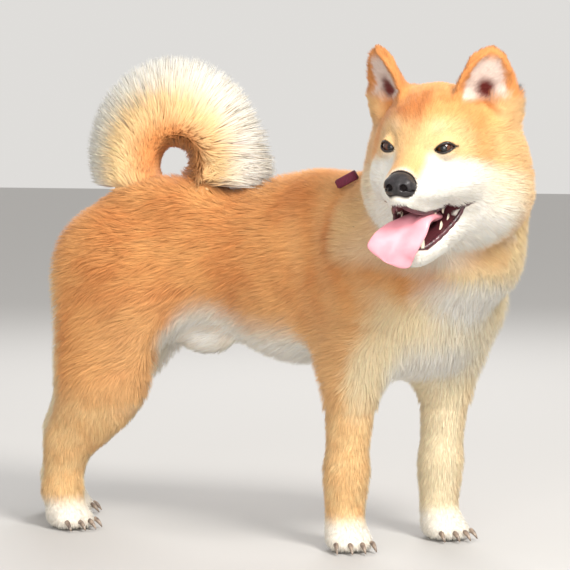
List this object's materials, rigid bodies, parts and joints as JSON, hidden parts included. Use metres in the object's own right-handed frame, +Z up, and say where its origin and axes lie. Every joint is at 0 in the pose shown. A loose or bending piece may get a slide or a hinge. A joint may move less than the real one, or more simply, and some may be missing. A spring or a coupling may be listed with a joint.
{
  "type": "shiba inu dog, life size model",
  "caption": "Life-size standing shiba inu looking back over its shoulder, mouth open, tail curled, with a narrow collar.",
  "frame": {"origin": "on the floor, under the middle of the dog's box", "axes": "+X towards the front of the dog, +Y to its left, +Z up"},
  "size_m": [0.6578, 0.323, 0.5337],
  "materials": {
    "red_coat": "soft dog's coat, red",
    "pale_coat": "soft dog's coat, cream and white",
    "nose_leather": "damp black nose leather",
    "tongue": "wet pink tongue and gums",
    "eye": "clear dark brown eye",
    "claw": "smooth dark claw",
    "tooth": "wet ivory enamel",
    "collar_webbing": "woven burgundy webbing"
  },
  "bodies": {
    "root": {"trunk": "red_coat", "head": "red_coat", "ear_L": "red_coat", "ear_R": "red_coat", "foreleg_R": "red_coat", "foreleg_L": "red_coat", "hindleg_R": "red_coat", "hindleg_L": "red_coat", "upper_foreleg_R": "red_coat", "upper_foreleg_L": "red_coat", "thigh_R": "red_coat", "thigh_L": "red_coat", "neck": "pale_coat", "lower_jaw": "pale_coat", "forepaw_R": "pale_coat", "forepaw_L": "pale_coat", "hindpaw_R": "pale_coat", "hindpaw_L": "pale_coat", "tail_base": "pale_coat", "tail_curl": "pale_coat", "tail_tip": "pale_coat", "nose": "nose_leather", "tongue": "tongue", "eye_L": "eye", "eye_R": "eye", "collar": "collar_webbing"}
  },
  "joints": []
}
